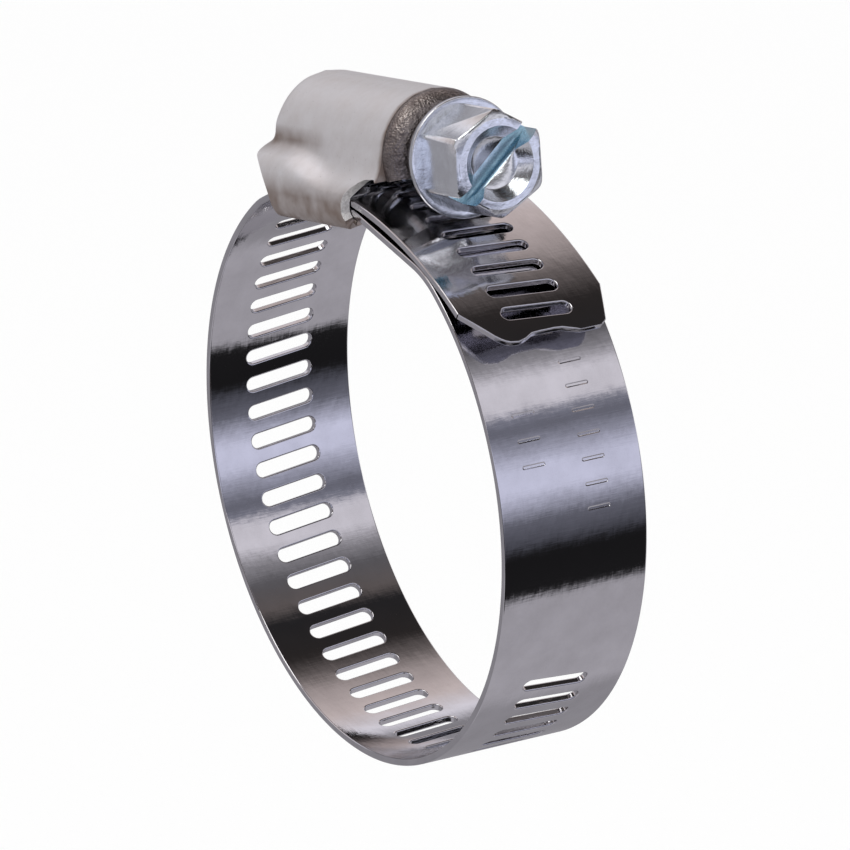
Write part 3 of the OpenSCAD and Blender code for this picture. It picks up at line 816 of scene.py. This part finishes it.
def arch_outline():
    """The front opening: up from the foot, round a corner and forward, with the ragged line of a shear."""
    arch_top, wall_x, r = screw_z - 1.15, 5.0, 2.2
    line = [(wall_x + 0.5, 18.0), (wall_x + 0.25, 20.4), (wall_x - 0.25, 21.3), (wall_x - 0.1, 22.2)]
    for a in np.linspace(170, 95, 9):
        line.append((wall_x + r + r * cos(radians(a)) * 1.02, arch_top - r + r * sin(radians(a))))
    line += [(8.0, arch_top + 0.05), (8.6, arch_top - 0.25), (9.3, arch_top - 0.1), (12.0, arch_top + 0.1),
             (12.0, 18.0)]
    return line


# The sheared edges show the sheet's bare, grainy thickness
satin, tree, shader = finish("satin pressed steel")
shader.inputs["Metallic"].default_value = 0.8
where = node(tree, "ShaderNodeTexCoord", (-1700, 0))
in_mm = node(tree, "ShaderNodeVectorMath", (-1500, 0), operation="SCALE")
in_mm.inputs["Scale"].default_value = 1000
split = node(tree, "ShaderNodeSeparateXYZ", (-1300, -400))
clouds = use(tree, cloudy, (-900, 300), Size=0.5, Base=0.3, Spread=0.1, Light=(0.84, 0.82, 0.82, 1),
             Dark=(0.72, 0.69, 0.68, 1))
grain = use(tree, drawn, (-900, -100), Stretch=(1, 1, 1), Fineness=9.0, Depth=1.0)
pits = node(tree, "ShaderNodeTexVoronoi", (-900, -300))
pits.inputs["Scale"].default_value = 1.6
spots = node(tree, "ShaderNodeMapRange", (-700, -300))
spots.inputs["From Min"].default_value, spots.inputs["From Max"].default_value = 0.03, 0.09
relief = node(tree, "ShaderNodeBump", (-200, -200))
relief.inputs["Distance"].default_value = 0.000012
relief.inputs["Strength"].default_value = 0.6
# Brown heat tint next to the neck, and painted shade: the same brown darkens the rear crease and everything low
# on the walls, where shade falls
wobble = node(tree, "ShaderNodeTexNoise", (-1300, -700))
wobble.inputs["Scale"].default_value = 0.7
wobbled = chain(tree, (-1100, -700), ("MULTIPLY_ADD", wobble.outputs[0], 0.5, split.outputs[0]))
near_neck = chain(tree, (-900, -700), ("SUBTRACT", wobbled, neck_x - 0.35), ("DIVIDE", None, 0.55),
                  ("MAXIMUM", None, 0.0), ("MINIMUM", None, 1.0), ("POWER", None, 1.6))
side_y = chain(tree, (-1100, -1000), ("ABSOLUTE", split.outputs[1]))
# Painted shade: brown darkening below 23.5 mm, low on the walls
low_wall_painted_shade = chain(tree, (-900, -1000), ("SUBTRACT", 23.5, split.outputs[2]), ("DIVIDE", None, 1.5),
                 ("MAXIMUM", None, 0.0), ("MINIMUM", None, 1.0), ("MULTIPLY", None, 0.85))
# Painted shade: brown darkening along the rear crease at 25.7 mm, where the sheet faces away from the light
crease_painted_shade_band = chain(tree, (-900, -1200), ("SUBTRACT", split.outputs[2], 25.7), ("ABSOLUTE", None),
                  ("DIVIDE", None, 1.1), ("SUBTRACT", 1.0, None), ("MAXIMUM", None, 0.0))
at_rear = chain(tree, (-900, -1400), ("SUBTRACT", 1.0, split.outputs[0]), ("DIVIDE", None, 9.0),
                ("MAXIMUM", None, 0.0), ("MINIMUM", None, 1.0))
# Painted crease shade, strongest at the rear and fading towards the front
rear_crease_painted_shade = chain(tree, (-200, -1200), ("MULTIPLY", crease_painted_shade_band, at_rear), ("MULTIPLY", None, 1.15))
# The heat tint next to the neck added to the painted shade
neck_tint_and_painted_shade = chain(tree, (200, -1000), ("MAXIMUM", low_wall_painted_shade, rear_crease_painted_shade), ("MULTIPLY_ADD", near_neck, 1.0, None),
              ("MINIMUM", None, 1.0))
brown_noise = node(tree, "ShaderNodeTexNoise", (0, -800))
brown_noise.inputs["Scale"].default_value = 0.55
neck_tint_and_painted_shade = chain(tree, (700, -1000), ("MULTIPLY_ADD", brown_noise.outputs[0], 1.5, 0.15), ("MULTIPLY", None,
                                        neck_tint_and_painted_shade),
              ("MINIMUM", None, 1.0))
# Mixes the satin colour towards brown by the heat tint and the painted shade
tint_and_shade_mix = node(tree, "ShaderNodeMix", (-200, 300), data_type="RGBA")
# The brown of the heat tint, also used as painted shade
tint_and_shade_mix.inputs[7].default_value = (0.3, 0.235, 0.2, 1)
speck = node(tree, "ShaderNodeMix", (0, 300), data_type="RGBA", blend_type="MULTIPLY")
speck.inputs[0].default_value = 0.35
join_nodes(tree, (where.outputs["Object"], in_mm.inputs[0]), (in_mm.outputs[0], clouds.inputs["Where"]),
           (in_mm.outputs[0], grain.inputs["Where"]), (in_mm.outputs[0], pits.inputs["Vector"]),
           (in_mm.outputs[0], split.inputs[0]), (in_mm.outputs[0], wobble.inputs["Vector"]),
           (in_mm.outputs[0], brown_noise.inputs["Vector"]), (pits.outputs["Distance"],
                                        spots.inputs["Value"]),
           (grain.outputs[0], relief.inputs["Height"]), (relief.outputs["Normal"], shader.inputs["Normal"]),
           (neck_tint_and_painted_shade, tint_and_shade_mix.inputs[0]), (clouds.outputs["Colour"], tint_and_shade_mix.inputs[6]), (tint_and_shade_mix.outputs[2],
                                        speck.inputs[6]),
           (spots.outputs[0], speck.inputs[7]), (speck.outputs[2], shader.inputs["Base Color"]),
           (clouds.outputs["Roughness"], shader.inputs["Roughness"]))

sheared, tree, shader = finish("sheared edge")
shader.inputs["Metallic"].default_value = 0.45
where = node(tree, "ShaderNodeTexCoord", (-1200, 0))
in_mm = node(tree, "ShaderNodeVectorMath", (-1000, 0), operation="SCALE")
in_mm.inputs["Scale"].default_value = 1000
clouds = use(tree, cloudy, (-700, 200), Size=4.0, Base=0.3, Spread=0.2, Light=(0.85, 0.83, 0.82, 1),
             Dark=(0.5, 0.48, 0.47, 1))
grain = use(tree, drawn, (-700, -100), Stretch=(1, 1, 1), Fineness=5.0, Depth=1.0)
relief = node(tree, "ShaderNodeBump", (-300, -100))
relief.inputs["Distance"].default_value = 0.00012
join_nodes(tree, (where.outputs["Object"], in_mm.inputs[0]), (in_mm.outputs[0], clouds.inputs["Where"]),
           (in_mm.outputs[0], grain.inputs["Where"]), (grain.outputs[0], relief.inputs["Height"]),
           (relief.outputs["Normal"], shader.inputs["Normal"]), (clouds.outputs["Colour"],
                                        shader.inputs["Base Color"]),
           (clouds.outputs["Roughness"], shader.inputs["Roughness"]))

# The neck is the barrel's front drawn in round the journal, dark and grainy where the metal has flowed
grainy, tree, shader = finish("drawn-in neck")
shader.inputs["Metallic"].default_value = 1.0
where = node(tree, "ShaderNodeTexCoord", (-1400, 0))
in_mm = node(tree, "ShaderNodeVectorMath", (-1200, 0), operation="SCALE")
in_mm.inputs["Scale"].default_value = 1000
clouds = use(tree, cloudy, (-700, 200), Size=1.2, Base=0.34, Spread=0.16, Light=(0.3, 0.265, 0.25, 1),
             Dark=(0.13, 0.11, 0.105, 1))
bumps = node(tree, "ShaderNodeTexVoronoi", (-900, -100), feature="SMOOTH_F1")
bumps.inputs["Scale"].default_value = 5.0
bumps.inputs["Smoothness"].default_value = 0.6
relief = node(tree, "ShaderNodeBump", (-300, -100))
relief.inputs["Distance"].default_value = 0.00014
relief.inputs["Strength"].default_value = 0.5
join_nodes(tree, (where.outputs["Object"], in_mm.inputs[0]), (in_mm.outputs[0], clouds.inputs["Where"]),
           (in_mm.outputs[0], bumps.inputs["Vector"]), (bumps.outputs["Distance"], relief.inputs["Height"]),
           (relief.outputs["Normal"], shader.inputs["Normal"]), (clouds.outputs["Colour"],
                                        shader.inputs["Base Color"]),
           (clouds.outputs["Roughness"], shader.inputs["Roughness"]))

housing.data.materials.append(satin)
arch = side_cutter("arch", arch_outline())
arch.data.materials.append(sheared)
tidy_mesh(housing)
cut(housing, arch)
soften(housing, 0.09, segments=2, angle=50)
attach(housing, "clamp_body")
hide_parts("housing")

journal_r = 2.66
neck = revolve("neck", [(8.25, 2.75), (8.25, 5.0), (8.45, 5.06), (8.8, 5.02), (9.15, 4.88), (9.45, 4.66),
                        (9.7, 4.4), (9.85, 4.15), (9.9, 3.9), (9.9, 2.85), (9.8, journal_r), (8.35,
                                        journal_r),
                        (8.25, 2.75)], z0=screw_z)
tidy_mesh(neck)
neck.data.materials.append(grainy)
arch = side_cutter("arch", arch_outline())
arch.data.materials.append(sheared)
cut(neck, arch)
tidy_mesh(neck)
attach(neck, "clamp_body")

# ================================================================ Saddle
# A thin plate of the same steel between the band and the folded feet. Its front lip turns down.
saddle_x0, saddle_flat = -5.4, 8.8
saddle_lip = arc(3.2, 34)
saddle_u = saddle_flat + saddle_lip[0]
saddle_half = band_w / 2 - 0.1
saddle_cells = shape("saddle flat", plain_length(np.linspace(0, saddle_u, 41), saddle_half, saddle_t, 0.08)
                     + [blunt_end(0, saddle_half, saddle_t, 0.08, -1),
                        blunt_end(saddle_u, saddle_half, saddle_t, 0.08, 1)])
saddle_path = path("saddle path", (saddle_x0, head_z - band_t / 2 - saddle_t / 2, 0.0),
                   [(saddle_flat, 0), saddle_lip])
saddle = run_tree("saddle_plate", saddle_cells.data, bend, {"Path": saddle_path, "Finish": satin})
set_facings(saddle.data)
away(saddle_cells, saddle_path)
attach(saddle, "clamp_body")
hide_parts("saddle")

# ================================================================ Screw
# Zinc-plated steel in one piece: a hex head with a dished face and a driver slot, a thick flange, a journal
# that runs in the neck, and a right-hand thread that stands in the band's slots.
zinc, tree, shader = finish("bright zinc plate")
shader.inputs["Metallic"].default_value = 1.0
where = node(tree, "ShaderNodeTexCoord", (-1400, 0))
in_mm = node(tree, "ShaderNodeVectorMath", (-1200, 0), operation="SCALE")
in_mm.inputs["Scale"].default_value = 1000
clouds = use(tree, cloudy, (-700, 200), Size=0.9, Base=0.12, Spread=0.12, Light=(0.8, 0.83, 0.86, 1),
             Dark=(0.72, 0.74, 0.77, 1))
streaks = use(tree, drawn, (-900, -100), Stretch=(6.0, 1.2, 1.2), Fineness=1.6, Depth=1.0)
dents = use(tree, drawn, (-900, -300), Stretch=(1, 1, 1), Fineness=1.1, Depth=3.0)
add_1 = node(tree, "ShaderNodeMath", (-600, -200), operation="ADD")
relief = node(tree, "ShaderNodeBump", (-300, -100))
relief.inputs["Distance"].default_value = 0.000011
join_nodes(tree, (where.outputs["Object"], in_mm.inputs[0]), (in_mm.outputs[0], clouds.inputs["Where"]),
           (in_mm.outputs[0], streaks.inputs["Where"]), (in_mm.outputs[0], dents.inputs["Where"]),
           (streaks.outputs[0], add_1.inputs[0]), (dents.outputs[0], add_1.inputs[1]),
           (add_1.outputs[0], relief.inputs["Height"]), (relief.outputs["Normal"], shader.inputs["Normal"]),
           (clouds.outputs["Colour"], shader.inputs["Base Color"]), (clouds.outputs["Roughness"],
                                        shader.inputs["Roughness"]))

# The slot is sawn before plating, and the thicker zinc in it looks blue
blue_zinc, tree, shader = finish("blue zinc in the slot")
shader.inputs["Metallic"].default_value = 1.0
where = node(tree, "ShaderNodeTexCoord", (-1400, 0))
in_mm = node(tree, "ShaderNodeVectorMath", (-1200, 0), operation="SCALE")
in_mm.inputs["Scale"].default_value = 1000
clouds = use(tree, cloudy, (-700, 200), Size=1.5, Base=0.2, Spread=0.12, Light=(0.6, 0.75, 0.82, 1),
             Dark=(0.42, 0.6, 0.68, 1))
sawn = use(tree, drawn, (-900, -100), Stretch=(0.5, 4.0, 4.0), Fineness=2.0, Depth=1.0)
relief = node(tree, "ShaderNodeBump", (-300, -100))
relief.inputs["Distance"].default_value = 0.000004
join_nodes(tree, (where.outputs["Object"], in_mm.inputs[0]), (in_mm.outputs[0], clouds.inputs["Where"]),
           (in_mm.outputs[0], sawn.inputs["Where"]), (sawn.outputs[0], relief.inputs["Height"]),
           (relief.outputs["Normal"], shader.inputs["Normal"]), (clouds.outputs["Colour"],
                                        shader.inputs["Base Color"]),
           (clouds.outputs["Roughness"], shader.inputs["Roughness"]))

hex_r, hex_turn, flange_x, head_l = 7.45 / sqrt(3), -3.0, 12.5, 5.3
head_end = flange_x + head_l
corners = np.radians(np.arange(6) * 60 + 30 + hex_turn)
ring = [(hex_r * cos(a), screw_z + hex_r * sin(a)) for a in corners]
mesh = bpy.data.meshes.new("hex_head")
mesh.from_pydata([(x * MM, y * MM, z * MM) for x in (flange_x - 0.3, head_end) for y, z in ring], [],
                 [[i, (i + 1) % 6, 6 + (i + 1) % 6, 6 + i] for i in range(6)]
                 + [list(range(5, -1, -1)), list(range(6, 12))])
head = bpy.data.objects.new("hex_head", mesh)
bpy.context.scene.collection.objects.link(head)
tidy_mesh(head)
soften(head, 0.28, segments=3, angle=35)
head.data.materials.append(zinc)
# The corners of the face are turned off to a shallow cone, and the face is dished
face_r, recess_r, recess_floor_r, recess_d = 3.5, 2.9, 2.1, 1.0
crown = [(head_end - 0.5 * k ** 2 - 0.06 * (k > 0), face_r + 0.9 * k) for k in np.linspace(0, 1, 5)]
turned = revolve("turned", [(flange_x - 2, 0), (flange_x - 2, 8.0), (head_end - 2.5, 7.0)] + crown[::-1]
                 + [(head_end, face_r - 0.1), (head_end, 0)], z0=screw_z, steps=128)
tidy_mesh(turned)
cut(head, turned, "INTERSECT")
dish = revolve("dish", [(head_end - recess_d, 0), (head_end - recess_d, recess_floor_r - 0.1),
                        (head_end - recess_d + 0.08, recess_floor_r), (head_end - 0.1, recess_r - 0.03),
                        (head_end + 0.3, recess_r + 0.25), (head_end + 0.3, 0)], z0=screw_z, steps=128)
tidy_mesh(dish)
cut(head, dish)
slot_turn, driver_w, driver_d = 39.0, 1.4, 2.2
bpy.ops.mesh.primitive_cube_add(size=1)
saw = bpy.context.object
saw.data.transform(Matrix.Translation((0, 0, screw_z * MM)) @ Matrix.Rotation(radians(slot_turn), 4, "X")
                   @ Matrix.Translation(((head_end - driver_d + 3) * MM, 0, 0))
                   @ Matrix.Diagonal((6 * MM, 20 * MM, driver_w * MM, 1)))
saw.data.materials.append(blue_zinc)
cut(head, saw)
tidy_mesh(head, 0.02)
head.data.set_sharp_from_angle(angle=radians(24))

flange_r = 4.75
flange = revolve("flange", [(-8.6, 0), (-8.6, 2.45), (-8.45, 2.6), (flange_x - 2.4, 2.6), (flange_x - 2.4,
                                        3.7),
                            (flange_x - 2.32, 3.84), (flange_x - 0.6, 4.68), (flange_x - 0.48,
                                        flange_r - 0.01),
                            (flange_x - 0.14, flange_r), (flange_x - 0.04, flange_r - 0.04),
                            (flange_x, flange_r - 0.14), (flange_x, flange_r - 0.5), (flange_x - 0.05, 0)],
                 z0=screw_z, steps=128)
tidy_mesh(flange)
soften(flange, 0.05, segments=2, angle=30)
flange.data.materials.append(zinc)

# Thread: a spiral line that carries the tooth's section
spiral, start, end = geometry_tree("Thread on a spiral", [
    ("Turns", "NodeSocketFloat"), ("Radius", "NodeSocketFloat"), ("Length", "NodeSocketFloat"),
    ("Section", "NodeSocketObject"), ("Finish", "NodeSocketMaterial")])
helix = node(spiral, "GeometryNodeCurveSpiral", (-600, 0))
helix.inputs["Resolution"].default_value = 48
section_info = node(spiral, "GeometryNodeObjectInfo", (-600, -300))
upright = node(spiral, "GeometryNodeSetCurveNormal", (-350, 0), mode="Z_UP")
sweep = node(spiral, "GeometryNodeCurveToMesh", (-100, 0))
sweep.inputs["Fill Caps"].default_value = True
paint = node(spiral, "GeometryNodeSetMaterial", (200, 0))
join_nodes(spiral, (start.outputs["Turns"], helix.inputs["Rotations"]), (start.outputs["Radius"],
                                        helix.inputs["Start Radius"]),
           (start.outputs["Radius"], helix.inputs["End Radius"]), (start.outputs["Length"],
                                        helix.inputs["Height"]),
           (helix.outputs[0], upright.inputs["Curve"]), (upright.outputs[0], sweep.inputs["Curve"]),
           (start.outputs["Section"], section_info.inputs["Object"]),
           (section_info.outputs["Geometry"], sweep.inputs["Profile Curve"]), (sweep.outputs[0],
                                        paint.inputs["Geometry"]),
           (start.outputs["Finish"], paint.inputs["Material"]), (paint.outputs[0], end.inputs[0]))
thread_x0, thread_turns = -5.4, 4.6
tooth = bpy.data.curves.new("tooth", "CURVE")
spline = tooth.splines.new("POLY")
tooth_line = [(-0.1, -0.47), (0.5, -0.3), (0.64, -0.18), (0.64, 0.18), (0.5, 0.3), (-0.1, 0.47)]
spline.points.add(len(tooth_line) - 1)
spline.points.foreach_set("co", np.ravel([(a * MM, b * MM, 0, 1) for a, b in tooth_line]))
spline.use_cyclic_u = True
tooth_thing = bpy.data.objects.new("tooth", tooth)
bpy.context.scene.collection.objects.link(tooth_thing)
empty_mesh = bpy.data.meshes.new("thread")
thread = run_tree("thread", empty_mesh, spiral, {
    "Turns": thread_turns, "Radius": 2.6 * MM, "Length": thread_turns * pitch * MM, "Section": tooth_thing,
    "Finish": zinc})
away(tooth_thing)
turns_to_slot = (0.62 * pitch - thread_x0) / pitch
first_turn = -90 - 360 * (turns_to_slot - int(turns_to_slot))
lay_down = Matrix(((0, 0, 1, 0), (1, 0, 0, 0), (0, 1, 0, 0), (0, 0, 0, 1)))
thread.data.transform(Matrix.Translation((thread_x0 * MM, 0, screw_z * MM))
                      @ Matrix.Rotation(radians(first_turn), 4, "X") @ lay_down)
tidy_mesh(thread)
for thing in (head, flange, thread):
    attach(thing, "screw")
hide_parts("worm_screw")

# ================================================================ Stage
# A plain pale floor, a soft studio and, round the clamp, a tent of pale and dark cloths that only its
# polished metal reflects.
def plain_finish(name, colour, roughness):
    material, tree, shader = finish(name)
    speckle = node(tree, "ShaderNodeTexNoise", (-600, 0))
    speckle.inputs["Scale"].default_value = 3.0
    shade = node(tree, "ShaderNodeMix", (-300, 0), data_type="RGBA")
    shade.inputs[6].default_value = colour
    shade.inputs[7].default_value = tuple(c * 0.99 for c in colour[:3]) + (1,)
    shader.inputs["Roughness"].default_value = roughness
    join_nodes(tree, (speckle.outputs[0], shade.inputs[0]), (shade.outputs[2], shader.inputs["Base Color"]))
    return material


bpy.ops.mesh.primitive_plane_add(size=30, location=(0, 0, -1.6))
floor = bpy.context.object
floor.name = "floor"
floor.data.materials.append(plain_finish("pale floor", (0.99, 0.99, 0.99, 1), 1.0))

bpy.ops.mesh.primitive_uv_sphere_add(radius=1.5, segments=96, ring_count=48)
tent = bpy.context.object
tent.name = "tent"
cloth, tree, shader = finish("tent cloth")
tree.nodes.remove(shader)
where = node(tree, "ShaderNodeTexCoord", (-1200, 0))
axes = node(tree, "ShaderNodeSeparateXYZ", (-1000, 0))
round_y = chain(tree, (-800, 0), ("ARCTAN2", axes.outputs[2], axes.outputs[0]), ("DIVIDE", None, 2 * pi),
                ("ADD", None, 0.5))
ramp = node(tree, "ShaderNodeValToRGB", (-200, 0))
glow = node(tree, "ShaderNodeEmission", (200, 0))
tree.links.new(where.outputs["Object"], axes.inputs[0])
tree.links.new(round_y, ramp.inputs[0])
tree.links.new(ramp.outputs[0], glow.inputs[0])
tree.links.new(glow.outputs[0], tree.nodes["Material Output"].inputs[0])
# Angle about Y, from +X up towards +Z, with how bright the cloth is there and its tint
cool, warm, plain = (0.88, 0.9, 1.12), (1.1, 0.95, 0.92), (1.0, 0.97, 1.05)
cloths = [(-180, 0.35, plain), (-150, 0.3, plain), (-108, 0.36, plain), (-100, 0.5, plain), (-52.5, 0.48,
                                        plain),
          (-49.6, 0.015, plain), (-33, 0.013, plain), (-28, 0.11, cool), (-20, 0.2, cool), (-8, 0.95, cool),
          (0, 0.9, cool), (8, 0.45, cool), (15, 0.2, cool), (19.5, 0.3, cool), (23, 0.85, plain), (33,
                                        0.88, plain),
          (40, 0.35, plain), (48, 0.14, plain), (60, 0.14, warm), (66, 0.025, plain), (85, 0.03, warm),
          (94, 0.16, warm), (103, 0.45, warm), (120, 0.7, warm), (135, 0.95, plain), (146, 0.3, plain),
          (180, 0.35, plain)]
ramp.color_ramp.elements[0].position = 0
ramp.color_ramp.elements[1].position = 1
for i, (angle, bright, tint_rgb) in enumerate(cloths):
    spot = (angle + 180) / 360
    if i == 0:
        stop = ramp.color_ramp.elements[0]
    elif i == len(cloths) - 1:
        stop = ramp.color_ramp.elements[-1]
    else:
        stop = ramp.color_ramp.elements.new(spot)
    stop.color = tuple(bright * c for c in tint_rgb) + (1,)
tent.data.materials.append(cloth)
tent.visible_camera = tent.visible_diffuse = tent.visible_shadow = tent.visible_transmission = False

world = bpy.data.worlds.new("studio")
bpy.context.scene.world = world
world.use_nodes = True
world.node_tree.nodes["Background"].inputs[0].default_value = (1, 1, 1, 1)
world.node_tree.nodes["Background"].inputs[1].default_value = 1.0
softbox = bpy.data.lights.new("softbox", "AREA")
softbox.energy, softbox.size = 12, 1.2
softbox_thing = bpy.data.objects.new("softbox", softbox)
softbox_thing.location = (0.3, -0.5, 1.3)
softbox_thing.rotation_euler = (Vector((0, 0, 0)) - Vector((0.3, -0.5, 1.3))).to_track_quat("-Z",
                                        "Y").to_euler()
bpy.context.scene.collection.objects.link(softbox_thing)

lens = bpy.data.cameras.new("camera")
lens.lens, lens.sensor_width, lens.clip_start, lens.clip_end = 476.5, 36, 0.01, 20
camera = bpy.data.objects.new("camera", lens)
bpy.context.scene.collection.objects.link(camera)
right, up, back = (0.4922, 0.8631, -0.1133), (-0.11, 0.1908, 0.9754), (0.8635, -0.4677, 0.1889)
turned = Matrix((right, up, back)).transposed().to_4x4()
turned.translation = Vector((0.75775, -0.40987, 0.16827))
camera.matrix_world = turned
bpy.context.scene.camera = camera
bpy.context.scene.view_settings.view_transform = "Standard"
